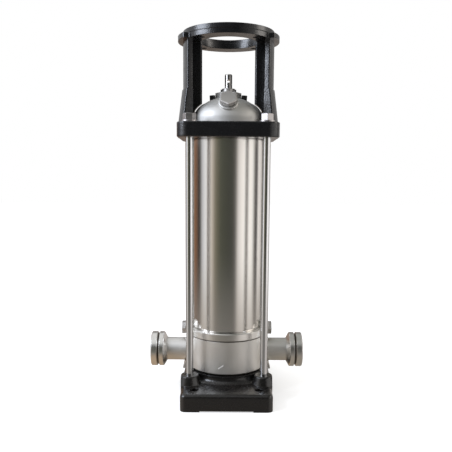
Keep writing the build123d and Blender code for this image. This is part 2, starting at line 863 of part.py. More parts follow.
def make_inlet_part():
    """Lowest part of the stack: it carries the lower bearing and the first neck hole."""
    part = turned([
        (suction_well_radius, stack_bottom),
        (chamber_radius, stack_bottom),
        (chamber_radius, stages_bottom),
        (neck_radius, stages_bottom),
        (neck_radius, stages_bottom - chamber_wall),
        (chamber_bore, stages_bottom - chamber_wall),
        (chamber_bore, stack_bottom + chamber_wall),
        (suction_well_radius, stack_bottom + chamber_wall),
    ])
    hub_top = stages_bottom - chamber_wall
    part += bearing_hub(stack_bottom, hub_top - lower_bearing_drop)
    spoke = block((bearing_radius + bearing_hub_wall / 2, -spoke_width / 2, stack_bottom),
                  (suction_well_radius + chamber_wall, spoke_width / 2, hub_top - spoke_drop))
    for turn in around(spoke_count, 90):
        part += turn * spoke
    return part


def make_lower_bearing():
    """Bearing ring in the inlet part."""
    top = stages_bottom - chamber_wall - lower_bearing_drop
    return tube(bearing_radius, hub_radius + bearing_gap, stack_bottom, top)


def make_outlet_part():
    """Highest part of the stack, with windows to the sleeve and the upper bearing."""
    hub_wall = bearing_radius + bearing_hub_wall
    hub_bottom = stages_top + upper_bearing_rise
    part = turned([
        (bearing_radius, hub_bottom),
        (hub_wall, hub_bottom),
        (hub_wall, stack_top - chamber_wall),
        (chamber_bore, stack_top - chamber_wall),
        (chamber_bore, stages_top),
        (chamber_radius, stages_top),
        (chamber_radius, stack_top),
        (bearing_radius, stack_top),
    ])
    window_bottom = stages_top + window_rise
    window = block((chamber_bore - 2 * chamber_wall, -window_width / 2, window_bottom),
                   (chamber_radius + 2 * chamber_wall, window_width / 2, window_bottom + window_height))
    for turn in around(window_count):
        part -= turn * window
    return part


def make_upper_bearing():
    """Bearing ring in the outlet part."""
    return tube(bearing_radius, hub_radius + bearing_gap, stages_top + upper_bearing_rise, stack_top)


def make_tension_straps():
    """Straps that hold the stack together, hooked over both of its ends."""
    outer = chamber_radius + strap_thickness
    sector = Pos(outer, 0) * Rectangle(4 * strap_hook, strap_width)
    upright = extrude(Plane.XY.offset(stack_bottom - strap_thickness) * (
        (Circle(outer) - Circle(chamber_radius)) & sector), stack_top - stack_bottom + 2 * strap_thickness)
    hook = extrude((Circle(outer) - Circle(chamber_radius - strap_hook)) & sector, strap_thickness)
    strap = upright + Pos(0, 0, stack_bottom - strap_thickness) * hook + Pos(0, 0, stack_top) * hook
    return group(turn * strap for turn in around(strap_count, 90))


def make_shaft():
    """Pump shaft: a round bar with a chamfered end and a cross hole for the coupling pin."""
    bottom = stack_bottom - shaft_washer_height - shaft_nut_height - shaft_tail
    shaft = extrude(Plane.XY.offset(bottom) * Circle(shaft_radius), shaft_end_height - bottom)
    shaft = chamfer(shaft.edges().group_by(Axis.Z)[-1], shaft_chamfer)
    pin_hole = Rot(90, 0, 0) * Cylinder(pin_hole_radius, 4 * shaft_radius)
    relief_top = shaft_end_height - shaft_chamfer - shaft_end_length
    relief_bottom = relief_top - shaft_relief_width
    relief = tube(shaft_radius + beyond, shaft_radius - shaft_relief, relief_bottom, relief_top)
    return shaft - relief - Pos(0, 0, shaft_end_height - pin_hole_drop) * pin_hole


def make_shaft_nut():
    """Nut on the shaft's lower end."""
    bottom = stack_bottom - shaft_washer_height - shaft_nut_height
    return Pos(0, 0, bottom) * hexagon(shaft_nut_hexagon, shaft_nut_height) - disc(hub_bore, 0, stack_bottom)


def make_shaft_washer():
    """Washer between the shaft nut and the lower journal."""
    return tube(shaft_washer_radius, hub_bore, stack_bottom - shaft_washer_height, stack_bottom)


def make_clamp_ring():
    """Ring that closes the row of hubs and sleeves at the top."""
    bottom = stack_top + journal_stand_out
    ring = tube(hub_bore + clamp_ring_wall, hub_bore, bottom, bottom + clamp_ring_height)
    return chamfer(ring.edges().group_by(Axis.Z)[-1].sort_by(SortBy.LENGTH)[-1], clamp_ring_edge)


def make_seal_housing():
    """Cartridge seal body in the head's bore, with a hexagon to turn it."""
    body = disc(seal_bore - seal_bore_gap, seal_body_bottom, crown_height)
    body += Pos(0, 0, crown_height) * hexagon(seal_hexagon, seal_hexagon_height)
    body -= disc(seal_passage, seal_body_bottom - beyond, seal_body_top + beyond)
    body -= disc(seal_seat_radius, seal_body_bottom - beyond, seal_body_bottom + seal_seat_height)
    return body


def make_seal_seat():
    """Stationary seal ring."""
    return tube(seal_seat_radius - seal_bore_gap, shaft_radius + seal_seat_gap, seal_body_bottom,
                seal_body_bottom + seal_seat_height)


def make_seal_ring():
    """Rotating seal ring under the stationary one."""
    top = seal_body_bottom - seal_face_gap
    return tube(seal_ring_radius, hub_bore, top - seal_ring_height, top)


def make_seal_bellows():
    """Folded rubber sleeve that presses the rotating ring up."""
    top = seal_body_bottom - seal_face_gap - seal_ring_height
    fold = bellows_height / bellows_folds
    bottom = top - bellows_height
    outline = [(hub_bore, bottom)]
    for index in range(bellows_folds):
        start = bottom + index * fold
        outline.append((bellows_waist, start))
        outline.append((bellows_radius, start + fold / 3))
        outline.append((bellows_radius, start + fold * 2 / 3))
    outline += [(bellows_waist, top), (hub_bore, top)]
    return turned(outline)


def make_drive_collar():
    """Collar on the shaft above the seal body."""
    bottom = seal_body_top + drive_collar_lift
    collar = tube(drive_collar_radius, hub_bore, bottom, bottom + drive_collar_height)
    middle = bottom + drive_collar_height / 2
    hole = Rot(0, 90, 0) * Cylinder(drive_screw_radius + thread_gap, 3 * drive_collar_radius)
    return collar - Pos(0, 0, middle) * hole


def make_drive_screws():
    """Two set screws through the collar."""
    middle = seal_body_top + drive_collar_lift + drive_collar_height / 2
    start = drive_collar_radius + drive_screw_stand_out - drive_screw_length
    screw = Pos(start, 0, middle) * Rot(0, 90, 0) * extrude(Circle(drive_screw_radius), drive_screw_length)
    screw -= disc(hub_bore, 0, seat_height)
    return group([screw, Rot(0, 0, 180) * screw])


nodes = {
    "base_plate": make_base_plate(),
    "pump_base": make_pump_base(),
    "base_oring": make_base_oring(),
    "gauge_plugs": make_gauge_plugs(),
    "outer_sleeve": make_outer_sleeve(),
    "pump_head": make_pump_head(),
    "head_oring": make_head_oring(),
    "vent_plug": make_vent_plug(),
    "vent_plug_seal": make_vent_seal(),
    "cap_screws": make_cap_screws(),
    "motor_stool": make_motor_stool(),
    "stay_bolts": make_stay_bolts(),
    "stay_washers": make_stay_washers(),
    "stay_nuts": make_stay_nuts(),
    "inlet_part": make_inlet_part(),
    "lower_bearing": make_lower_bearing(),
    "outlet_part": make_outlet_part(),
    "upper_bearing": make_upper_bearing(),
    "tension_straps": make_tension_straps(),
    "shaft": make_shaft(),
    "shaft_spacers": make_shaft_spacers(),
    "lower_journal": make_lower_journal(),
    "upper_journal": make_upper_journal(),
    "shaft_nut": make_shaft_nut(),
    "shaft_washer": make_shaft_washer(),
    "clamp_ring": make_clamp_ring(),
    "seal_housing": make_seal_housing(),
    "seal_seat": make_seal_seat(),
    "seal_ring": make_seal_ring(),
    "seal_bellows": make_seal_bellows(),
    "drive_collar": make_drive_collar(),
    "drive_screws": make_drive_screws(),
}
for stage in range(stage_count):
    nodes[f"chamber_{stage + 1:02d}"] = make_chamber(stage)
    nodes[f"impeller_{stage + 1:02d}"] = make_impeller(stage)

os.makedirs("parts", exist_ok=True)
for name, shape in nodes.items():
    export_step(shape, f"parts/{name}.step")
    print(name, len(shape.solids()), "solids", round(shape.volume), "cubic mm")
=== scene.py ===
# %% [markdown]
# A vertical multistage pump, dressed for its portrait.
# The construction model already holds every piece at its real size: foot plate, nozzle casting, sleeve,
# dome, motor stool, bolts, and the stack of impellers inside. What is missing is the look: enamel on iron,
# blasted and polished stainless, a soft studio. We load the model once and never move or resize it.

# %% Load the construction model
import math

import bpy
from mathutils import Euler, Matrix, Vector


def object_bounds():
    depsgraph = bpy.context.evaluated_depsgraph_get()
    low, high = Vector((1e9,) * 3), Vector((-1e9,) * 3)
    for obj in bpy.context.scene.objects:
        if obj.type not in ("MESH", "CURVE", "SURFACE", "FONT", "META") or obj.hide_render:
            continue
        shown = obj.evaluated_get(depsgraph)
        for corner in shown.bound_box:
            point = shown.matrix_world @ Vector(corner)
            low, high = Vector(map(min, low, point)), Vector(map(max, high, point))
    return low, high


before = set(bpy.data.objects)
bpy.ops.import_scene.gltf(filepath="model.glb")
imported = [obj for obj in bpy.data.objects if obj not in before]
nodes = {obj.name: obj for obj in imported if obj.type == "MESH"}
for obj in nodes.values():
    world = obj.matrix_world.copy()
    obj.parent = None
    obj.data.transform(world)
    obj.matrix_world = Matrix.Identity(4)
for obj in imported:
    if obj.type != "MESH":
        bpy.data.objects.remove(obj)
cad_low, cad_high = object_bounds()
scene = bpy.context.scene
MM = 0.001
print("pieces in the model:", len(nodes), "height in mm:", round((cad_high.z - cad_low.z) / MM, 1))

# %% [markdown]
# Colours are easiest to choose as the hex values of a paint chart, which are sRGB. Cycles works in linear
# light, so one function turns a hex value into the linear colour that every socket expects.


# %% Turn a hex colour into linear light
def colour(text):
    """Linear RGBA from an sRGB hex colour such as 'c8c4bd'."""
    channels = [int(text[i:i + 2], 16) / 255 for i in (0, 2, 4)]
    linear = [c / 12.92 if c <= 0.04045 else ((c + 0.055) / 1.055) ** 2.4 for c in channels]
    return (*linear, 1.0)


white = colour("ffffff")
print("mid grey in linear light:", round(colour("808080")[0], 3))

# %% [markdown]
# A material is a small graph. Writing one out takes three kinds of line: add a node, set its sockets, link
# it to others. One helper does all three: a value that is itself an output socket becomes a link.


# %% Add one node to a graph
def add(tree, kind, inputs=None, **settings):
    """Adds a node with its settings. An input is a plain value, or the output socket to link from."""
    node = tree.nodes.new(kind)
    for name, value in settings.items():
        setattr(node, name, value)
    for name, value in (inputs or {}).items():
        if isinstance(value, bpy.types.NodeSocket):
            tree.links.new(value, node.inputs[name])
        else:
            node.inputs[name].default_value = value
    return node


print("node helper ready")

# %% [markdown]
# The camera stands a metre in front of the pump, a little above its middle, and looks down by seven
# degrees. Its lens shift puts the pump where the picture has it, without tilting the verticals any more.

# %% Place the camera
camera_place = Vector((-2.2, -972.3, 358.6)) * MM
camera_pitch = math.radians(7.32)
camera_roll = math.radians(0.38)
frame_pixels = 452
focal_pixels = 593.4
centre_row = 249.9

camera_data = bpy.data.cameras.new("portrait_camera")
camera = bpy.data.objects.new("portrait_camera", camera_data)
scene.collection.objects.link(camera)
scene.camera = camera
camera_data.sensor_width = 36.0
camera_data.lens = focal_pixels / frame_pixels * camera_data.sensor_width
camera_data.shift_y = (centre_row - frame_pixels / 2) / frame_pixels
camera.location = camera_place
look = Euler((math.radians(90) - camera_pitch, 0, 0)).to_matrix() @ Matrix.Rotation(camera_roll, 3, "Z")
camera.rotation_euler = look.to_euler()
print("lens in mm:", round(camera_data.lens, 2), "shift:", round(camera_data.shift_y, 4))

# %% [markdown]
# The studio is a white room. The camera, and every mirror-like surface, sees it as plain white. Matt
# surfaces get an even, softer grey from it, so that paint keeps the colour that it was given.

# %% Make the white room
scene.view_settings.view_transform = "Standard"
world = bpy.data.worlds.new("white_room")
scene.world = world
world.use_nodes = True
world.cycles.sampling_method = "NONE"
room = world.node_tree
room.nodes.clear()
fill_level = 0.62

room_rays = add(room, "ShaderNodeLightPath")
mirrored = add(room, "ShaderNodeMath", {
    0: room_rays.outputs["Is Glossy Ray"], 1: room_rays.outputs["Is Transmission Ray"]}, operation="MAXIMUM")
seen_white = add(room, "ShaderNodeMath", {
    0: mirrored.outputs[0], 1: room_rays.outputs["Is Camera Ray"]}, operation="MAXIMUM")
even_light = add(room, "ShaderNodeBackground", {"Color": white, "Strength": fill_level})
white_back = add(room, "ShaderNodeBackground", {"Color": white, "Strength": 1.0})
room_light = add(room, "ShaderNodeMixShader", {
    0: seen_white.outputs[0], 1: even_light.outputs[0], 2: white_back.outputs[0]})
add(room, "ShaderNodeOutputWorld", {"Surface": room_light.outputs[0]})
print("white room, fill level", fill_level)

# %% [markdown]
# Polished metal has almost no colour of its own, and in a purely white room it would vanish. So the
# photographer hangs cards around it. Here they are painted on the inside of one large drum, which only
# reflections can see: it gives no light and throws no shadow.

# %% Set up the drum
drum_radius = 1.7
drum_middle = 0.33
bpy.ops.mesh.primitive_uv_sphere_add(segments=64, ring_count=32, radius=drum_radius,
                                     location=(0, 0, drum_middle))
cards = bpy.context.object
cards.name = "studio_cards"
cards.visible_camera = False
cards.visible_diffuse = False
cards.visible_transmission = False
cards.visible_volume_scatter = False
cards.visible_shadow = False

card_paint = bpy.data.materials.new("painted_studio_cards")
card_paint.use_nodes = True
card_paint.cycles.emission_sampling = "NONE"
drum = card_paint.node_tree
drum.nodes.clear()
print("drum radius in m:", drum_radius)

# %% [markdown]
# A card is placed by the direction in which the pump sees it. The direction gives three useful numbers: the
# turn around the pump, the place from left to right, and the height. Azimuth 0 is towards the camera and 90
# to its right.

# %% Measure directions on the drum
direction = add(drum, "ShaderNodeVectorMath", {
    0: add(drum, "ShaderNodeTexCoord").outputs["Object"], "Scale": 1 / drum_radius}, operation="SCALE")
parts = add(drum, "ShaderNodeSeparateXYZ", {"Vector": direction.outputs[0]})
towards_camera = add(drum, "ShaderNodeMath", {0: parts.outputs["Y"], 1: -1.0}, operation="MULTIPLY")
angle = add(drum, "ShaderNodeMath", {
    0: parts.outputs["X"], 1: towards_camera.outputs[0]}, operation="ARCTAN2")
around = add(drum, "ShaderNodeMapRange", {
    "Value": angle.outputs[0], "From Min": -math.pi, "From Max": math.pi}).outputs["Result"]
left_to_right = add(drum, "ShaderNodeMapRange", {
    "Value": parts.outputs["X"], "From Min": -1.0, "From Max": 1.0}).outputs["Result"]


def paint_band(place, start, end, stops):
    """A ramp along one direction from (position, hex colour, strength) rows, running from start to end."""
    band = add(drum, "ShaderNodeValToRGB", {"Fac": place})
    elements = band.color_ramp.elements
    while len(elements) < len(stops):
        elements.new(1.0)
    for element, (position, text, strength) in zip(elements, stops):
        element.position = (position - start) / (end - start)
        element.color = (*[channel * strength for channel in colour(text)[:3]], 1.0)
    return band.outputs["Color"]


print("directions measured")

# %% [markdown]
# The wall card is what an upright tube shows. From the left: a brown one far round, a thin dark edge, the
# open white room, then the dark side of the room where the camera stands, white again, and one thin dark
# strip on the right. These are the stripes on the sleeve and on the bolts.

# %% Paint the wall
wall = paint_band(around, -180, 180, [
    (-180, "9a8f86", 1.0),
    (-160, "8a6f5c", 1.0),
    (-136, "8a6248", 1.0),
    (-122, "6a5345", 1.0),
    (-116, "332c28", 1.0),
    (-104, "332c28", 1.0),
    (-98, "b9b9bb", 1.0),
    (-84, "f2f4fa", 1.0),
    (-64, "fffdfa", 1.15),
    (-54, "d8cdc2", 1.0),
    (-42, "7c7764", 1.0),
    (-24, "53554a", 1.0),
    (14, "41423d", 1.0),
    (28, "5b5854", 1.0),
    (34, "f4efec", 1.0),
    (52, "fffcfa", 1.2),
    (90, "fffdfb", 1.2),
    (98, "b8b4b0", 1.0),
    (104, "383636", 1.0),
    (117, "383636", 1.0),
    (124, "fffbf9", 1.1),
    (180, "9a8f86", 1.0),
])
print("wall painted")

# %% [markdown]
# Higher up the wall is plainer, grey in front and behind, because the motor stool's flat enamel faces look
# there and should stay black. Low down comes the greyish ground around the pump.

# %% Paint the upper wall and the ground
upper_wall = paint_band(around, -180, 180, [
    (-180, "4c4b49", 1.0),
    (-168, "4c4b49", 1.0),
    (-156, "c4c4c4", 1.0),
    (-104, "d2d3d6", 1.0),
    (-92, "f4f6fa", 1.0),
    (-54, "f4f6fa", 1.0),
    (-36, "6c6d6c", 1.0),
    (-22, "3b3c3b", 1.0),
    (24, "3b3b3a", 1.0),
    (44, "8c8a88", 1.0),
    (64, "d6d2ce", 1.0),
    (104, "d6d2ce", 1.0),
    (124, "a8a6a4", 1.0),
    (156, "b0aeac", 1.0),
    (168, "4c4b49", 1.0),
    (180, "4c4b49", 1.0),
])
ground = paint_band(around, -180, 180, [
    (-180, "a09a94", 1.0),
    (-135, "8a8078", 1.0),
    (-108, "8f8780", 1.0),
    (-92, "c4bcb4", 1.0),
    (-60, "cfcac5", 1.0),
    (-40, "8b8681", 1.0),
    (-20, "82807c", 1.0),
    (24, "7a7773", 1.0),
    (38, "c6c0bb", 1.0),
    (92, "cfc9c4", 1.0),
    (108, "8a8580", 1.0),
    (130, "bab4ae", 1.0),
    (180, "a09a94", 1.0),
])
print("upper wall and ground painted")

# %% [markdown]
# The ceiling is bright on the left and darker on the right, which shades the dome from side to side. The
# table straight below is a warm tan. It shows on the undersides of the nozzles.

# %% Paint the ceiling and the table
ceiling = paint_band(left_to_right, -1, 1, [
    (-1.0, "f0f0f0", 1.0),
    (-0.35, "f4f5f6", 1.0),
    (-0.1, "e0e1e1", 1.0),
    (0.12, "acaeac", 1.0),
    (0.4, "767871", 1.0),
    (0.75, "7c7e78", 1.0),
    (1.0, "b4b2ae", 1.0),
])
table = paint_band(left_to_right, -1, 1, [
    (-1.0, "dcc4a6", 1.0),
    (-0.3, "c4a98c", 1.0),
    (0.0, "9c9184", 1.0),
    (0.3, "8c8981", 1.0),
    (1.0, "b0aca2", 1.0),
])
print("ceiling and table painted")

# %% [markdown]
# The five cards are stacked by height and melt into each other over a short climb, so no hard edge shows
# in a curved piece. Heights run from -1 straight below to 1 straight above.


# %% Stack the cards
def climb(low, high):
    """How far a direction has risen from one height on the drum to another."""
    return add(drum, "ShaderNodeMapRange", {
        "Value": parts.outputs["Z"], "From Min": low, "From Max": high},
        interpolation_type="SMOOTHSTEP").outputs["Result"]


levels = [
    (climb(0.08, 0.2), upper_wall),
    (climb(0.42, 0.62), ceiling),
    (climb(-0.16, -0.42), ground),
    (climb(-0.5, -0.72), table),
]
painted = wall
for share, band in levels:
    painted = add(drum, "ShaderNodeMix", {0: share, 6: painted, 7: band}, data_type="RGBA").outputs[2]
card_light = add(drum, "ShaderNodeEmission", {"Color": painted, "Strength": 1.0})
add(drum, "ShaderNodeOutputMaterial", {"Surface": card_light.outputs[0]})
cards.data.materials.append(card_paint)
print("cards on the drum:", len(levels) + 1)

# %% [markdown]
# One soft window stands high on the left. It gives the enamel its bluish highlights and the pump its gentle
# shading. A weaker one on the right draws thin lines on the far edges and keeps that side readable.


# %% Hang the soft lamps
def soft_lamp(name, azimuth, height, distance, size, radiance, tint):
    """A rectangular lamp that faces the pump's middle. Azimuth is as on the drum, lengths are in mm."""
    data = bpy.data.lights.new(name, "AREA")
    data.shape = "RECTANGLE"
    data.size = size[0] * MM
    data.size_y = size[1] * MM
    data.energy = radiance * math.pi * data.size * data.size_y
    data.color = colour(tint)[:3]
    lamp = bpy.data.objects.new(name, data)
    scene.collection.objects.link(lamp)
    turn = math.radians(azimuth)
    lamp.location = Vector((math.sin(turn) * distance, -math.cos(turn) * distance, height)) * MM
    aim = Vector((0, 0, drum_middle)) - lamp.location
    lamp.rotation_euler = aim.to_track_quat("-Z", "Y").to_euler()
    return lamp


lamps = [
    soft_lamp("window_lamp", azimuth=-68, height=960, distance=1350, size=(800, 680), radiance=9.5,
              tint="e8f0ff"),
    soft_lamp("right_lamp", azimuth=86, height=950, distance=1400, size=(620, 620), radiance=3.0,
              tint="fff9f2"),
]
print("lamps:", [lamp.name for lamp in lamps])

# %% [markdown]
# The floor is a plain pale sheet that carries the shadow. It is hidden from reflections, because the drum
# already has its own painted ground.

# %% Lay the floor
reach = 6.0
floor_gap = 0.2 * MM
floor_lift = 0.46
floor_mesh = bpy.data.meshes.new("floor")
floor_mesh.from_pydata([(-reach, -reach, 0), (reach, -reach, 0), (reach, reach, 0), (-reach, reach, 0)], [],
                       [(0, 1, 2, 3)])
floor = bpy.data.objects.new("floor", floor_mesh)
scene.collection.objects.link(floor)
floor.location.z = cad_low.z - floor_gap
floor.visible_glossy = False

floor_paint = bpy.data.materials.new("matt_white_paper")
floor_paint.use_nodes = True
paper = floor_paint.node_tree
paper.nodes.clear()
sheet = add(paper, "ShaderNodeBsdfDiffuse", {"Color": colour("f6f6f6")})
lift = add(paper, "ShaderNodeEmission", {"Color": white, "Strength": floor_lift})
both = add(paper, "ShaderNodeAddShader", {0: sheet.outputs[0], 1: lift.outputs[0]})
floor_rays = add(paper, "ShaderNodeLightPath")
shown = add(paper, "ShaderNodeMixShader", {
    0: floor_rays.outputs["Is Camera Ray"], 1: sheet.outputs[0], 2: both.outputs[0]})
add(paper, "ShaderNodeOutputMaterial", {"Surface": shown.outputs[0]})
floor_mesh.materials.append(floor_paint)
print("floor laid at", round(floor.location.z / MM, 2), "mm")

# %% [markdown]
# Every finish below starts the same way: an empty graph, one Principled shader, and the point on the
# surface in millimetres. All textures are sized from that point, so a grain of 0.5 is half a millimetre.


# %% Start a finish
def start_finish(name, base, metallic, roughness, round_edge=0.0):
    """A new material with its graph, its shader, the surface point in mm and a softened normal."""
    material = bpy.data.materials.new(name)
    material.use_nodes = True
    tree = material.node_tree
    tree.nodes.clear()
    shader = add(tree, "ShaderNodeBsdfPrincipled", {
        "Base Color": colour(base), "Metallic": metallic, "Roughness": roughness})
    add(tree, "ShaderNodeOutputMaterial", {"Surface": shader.outputs[0]})
    place = add(tree, "ShaderNodeTexCoord").outputs["Object"]
    point = add(tree, "ShaderNodeVectorMath", {0: place, "Scale": 1 / MM}, operation="SCALE").outputs[0]
    edge = add(tree, "ShaderNodeBevel", {"Radius": round_edge * MM}, samples=4).outputs[0]
    return material, tree, shader, point, edge


def dress(material, *names):
    """Gives a finish to nodes of the model."""
    for name in names:
        mesh = nodes[name].data
        if mesh.materials:
            mesh.materials[0] = material
        else:
            mesh.materials.append(material)


print("finishes can start")

# %% [markdown]
# A few small tools are shared by the finishes: grain of a given size, fine lines of a given spacing, relief
# of a given depth, plain arithmetic, and moving a value from one range to another. Noise rarely leaves the
# range from 0.3 to 0.7, so that is the range that gets spread out.

# %% Tools for grain and relief
noise_low, noise_high = 0.3, 0.7


def grain(tree, point, size, detail=3.0):
    """Noise whose lumps measure the given number of mm."""
    return add(tree, "ShaderNodeTexNoise", {
        "Vector": point, "Scale": 1 / size, "Detail": detail}).outputs["Fac"]


def lines(tree, point, spacing, detail):
    """Noise with its own size in mm along X, Y and Z: short across the lines and long along them."""
    scale = [1 / size for size in spacing]
    stretched = add(tree, "ShaderNodeMapping", {"Vector": point, "Scale": scale}).outputs[0]
    return grain(tree, stretched, 1.0, detail)


def relief(tree, height, normal, depth):
    """A bump of the given depth in mm."""
    return add(tree, "ShaderNodeBump", {
        "Height": height, "Normal": normal, "Strength": 1.0, "Distance": depth * MM}).outputs[0]


def remap(tree, value, low, high, to_low, to_high):
    """The value moved from one range to another."""
    return add(tree, "ShaderNodeMapRange", {
        "Value": value, "From Min": low, "From Max": high, "To Min": to_low, "To Max": to_high}).outputs[0]


def vary(tree, noise, smallest, largest):
    """Noise spread out between two values."""
    return remap(tree, noise, noise_low, noise_high, smallest, largest)


def sum_up(tree, operation, first, second=0.0):
    """One step of arithmetic on a value or between two."""
    return add(tree, "ShaderNodeMath", {0: first, 1: second}, operation=operation).outputs[0]


def blend_colours(tree, share, first, second):
    """A mix of two colours by a share between 0 and 1."""
    return add(tree, "ShaderNodeMix", {0: share, 6: first, 7: second}, data_type="RGBA").outputs[2]


def blend_values(tree, share, first, second):
    """A mix of two values by a share between 0 and 1."""
    return add(tree, "ShaderNodeMix", {0: share, 2: first, 3: second}, data_type="FLOAT").outputs[0]


print("tools ready")

# %% [markdown]
# Grey iron is cast in sand, which leaves a pebbled skin of one to three millimetres, and is then sprayed
# with black enamel that flows over the pebbles, sags a little and rounds every edge. The coat on top is
# smoother than the paint under it. The eye reads it by its broken highlights.

# %% Black enamel on cast iron
enamel, tree, shader, point, edge = start_finish("black_enamel_on_cast_iron", "17171a", 0.0, 0.3,
                                                 round_edge=1.2)
pebble_size, pebble_depth, coat_depth = 2.2, 0.24, 0.1
sag_size, sag_depth = 16.0, 0.45
pebbles = grain(tree, point, pebble_size, 4.0)
sags = grain(tree, point, sag_size, 2.0)
flow_normal = relief(tree, sags, edge, sag_depth)
tree.links.new(relief(tree, pebbles, flow_normal, pebble_depth), shader.inputs["Normal"])
tree.links.new(relief(tree, pebbles, flow_normal, coat_depth), shader.inputs["Coat Normal"])
tree.links.new(vary(tree, sags, 0.2, 0.32), shader.inputs["Roughness"])
shader.inputs["Coat Weight"].default_value = 0.3
shader.inputs["Coat Roughness"].default_value = 0.13
dress(enamel, "base_plate", "motor_stool")
print("enamel on:", nodes["base_plate"].name, nodes["motor_stool"].name)

# %% [markdown]
# The paint turns a little browner and lighter towards the floor, and a trace of pale dust lies in patches
# on the faces that look up. Both change only the paint's colour.

# %% Dust on the enamel
brown_from, brown_to = 70.0, 10.0
dust_size, dust_most = 22.0, 0.035
height = add(tree, "ShaderNodeSeparateXYZ", {"Vector": point}).outputs["Z"]
facing_up = add(tree, "ShaderNodeSeparateXYZ", {
    "Vector": add(tree, "ShaderNodeNewGeometry").outputs["Normal"]}).outputs["Z"]
upper_faces = remap(tree, facing_up, 0.5, 1.0, 0.0, 1.0)
dust_patches = remap(tree, grain(tree, point, dust_size, 5.0), 0.45, 0.75, 0.0, dust_most)
dust = sum_up(tree, "MULTIPLY", upper_faces, dust_patches)
low_down = remap(tree, height, brown_from, brown_to, 0.0, 1.0)
paint = blend_colours(tree, low_down, colour("131315"), colour("1a1715"))
tree.links.new(blend_colours(tree, dust, paint, colour("76706a")), shader.inputs["Base Color"])
print("dust covers at most", dust_most, "of an upper face")

# %% [markdown]
# The nozzle casting is stainless steel, blasted with glass beads: a fine even grain of under a millimetre
# that blurs the room into soft bands. Where a tool has faced it, on the clamp band around the sleeve and on
# the collars of the nozzles, it is smoother. Two masks find those places by their distances in mm.

# %% Find the turned faces of the casting
blasted, tree, shader, point, edge = start_finish("bead_blasted_cast_stainless", "b2aea8", 1.0, 0.42,
                                                  round_edge=0.8)
collar_start = 99.6
band_start = 95.2
band_reach = 63.4
place = add(tree, "ShaderNodeSeparateXYZ", {"Vector": point})
along_nozzle = sum_up(tree, "ABSOLUTE", place.outputs["X"])
on_collar = sum_up(tree, "GREATER_THAN", along_nozzle, collar_start)
flat_point = add(tree, "ShaderNodeVectorMath", {
    0: point, 1: Vector((1, 1, 0))}, operation="MULTIPLY").outputs[0]
from_axis = add(tree, "ShaderNodeVectorMath", {0: flat_point}, operation="LENGTH").outputs["Value"]
near_axis = sum_up(tree, "LESS_THAN", from_axis, band_reach)
above_groove = sum_up(tree, "GREATER_THAN", place.outputs["Z"], band_start)
on_band = sum_up(tree, "MULTIPLY", above_groove, near_axis)
turned = sum_up(tree, "MAXIMUM", on_collar, on_band)
print("turned above", band_start, "mm and beyond", collar_start, "mm from the axis")

# %% [markdown]
# A turning tool leaves rings around the axis of its cut, about half a millimetre apart: along the nozzle on
# the collars, up the pump's axis on the band. Everywhere else there is the grain of the beads. Water and
# fingers leave the casting a little cloudy. Its corners and grooves get painted shade: a darker colour where
# little light reaches.

# %% Blasted stainless casting
ring_pitch = 0.5
bead_size, cloud_size = 0.7, 18.0
painted_shade_reach = 5.0
skin_depth = 0.03


def turned_rings(position):
    """Noise along one direction only, as the rings of a cut."""
    steps = sum_up(tree, "MULTIPLY", position, 1 / ring_pitch)
    return add(tree, "ShaderNodeTexNoise", {"W": steps, "Detail": 1.0}, noise_dimensions="1D").outputs["Fac"]


rings = blend_values(tree, on_collar, turned_rings(place.outputs["Z"]), turned_rings(along_nozzle))
texture = blend_values(tree, turned, grain(tree, point, bead_size), rings)
skin_normal = relief(tree, texture, edge, skin_depth)
clouds = grain(tree, point, cloud_size)
satin_level = blend_values(tree, turned, vary(tree, clouds, 0.48, 0.58), 0.3)
# Painted shade: ambient occlusion darkens the casting's colour towards 77716a in its corners and grooves.
openness_for_painted_shade = add(tree, "ShaderNodeAmbientOcclusion", {"Distance": painted_shade_reach * MM}, samples=6).outputs["AO"]
clean = blend_colours(tree, clouds, colour("e2e0dc"), colour("f0eeea"))
skin = blend_colours(tree, remap(tree, openness_for_painted_shade, 0.35, 0.85, 0.0, 1.0), colour("77716a"), clean)
tree.links.new(satin_level, shader.inputs["Roughness"])
dress(blasted, "pump_base")
print("blasted:", nodes["pump_base"].name)

# %% [markdown]
# One slanting scratch crosses the front of the casting: a shallow groove in the relief. Its brightness is a
# painted highlight, a near-white colour with little metal in it, so it shows bright from every side and is
# much less of a mirror than the skin around.

# %% Scratch the casting and paint its highlight
scratch_start = Vector((-13.5, 0, 50.5))
scratch_along = Vector((8.6, 0, 6.4)).normalized()
scratch_across = Vector((-scratch_along.z, 0, scratch_along.x))
scratch_length = 10.7
scratch_width = 1.1
scratch_depth = 0.25
scratch_metallic = 0.1
from_start = add(tree, "ShaderNodeVectorMath", {0: point, 1: scratch_start}, operation="SUBTRACT").outputs[0]


def inside(along, low, high):
    """1 where the point lies between two distances from the scratch's start, measured along a direction."""
    way = add(tree, "ShaderNodeVectorMath", {
        0: from_start, 1: along}, operation="DOT_PRODUCT").outputs["Value"]
    away = sum_up(tree, "ABSOLUTE", sum_up(tree, "SUBTRACT", way, (low + high) / 2))
    return sum_up(tree, "LESS_THAN", away, (high - low) / 2)


in_front = sum_up(tree, "LESS_THAN", place.outputs["Y"], 0.0)
in_line = sum_up(tree, "MULTIPLY", inside(scratch_along, 0.0, scratch_length),
                 inside(scratch_across, -scratch_width / 2, scratch_width / 2))
scratch_and_painted_highlight = sum_up(tree, "MULTIPLY", in_front, in_line)
